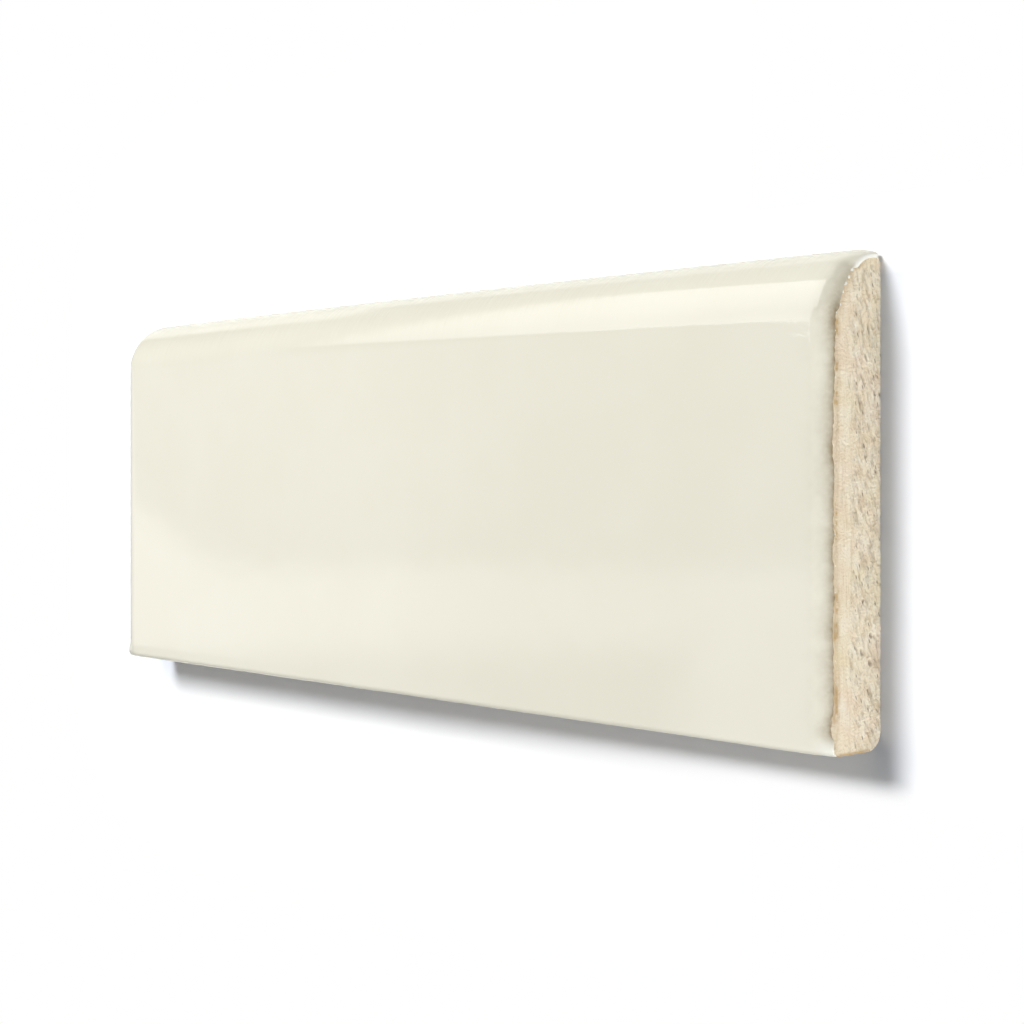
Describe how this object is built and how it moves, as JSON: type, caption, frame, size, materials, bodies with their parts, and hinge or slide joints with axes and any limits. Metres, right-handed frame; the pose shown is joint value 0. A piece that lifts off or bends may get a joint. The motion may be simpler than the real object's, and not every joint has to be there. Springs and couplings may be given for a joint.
{
  "type": "bullnose tile",
  "caption": "Glazed ceramic wall trim tile with one long edge rounded over as a bullnose, a rounded plain edge, raw ends and a back grooved for adhesive.",
  "frame": {"origin": "centre of the back, the face that is bedded on the wall and that the tile lies on", "axes": "+X along the tile, +Y across it towards the bullnose edge, +Z out of the glazed face"},
  "size_m": [0.2, 0.075, 0.012],
  "materials": {
    "glaze": "gloss",
    "bisque": "matte"
  },
  "bodies": {
    "root": {"bullnose_tile": "glaze"}
  },
  "joints": []
}
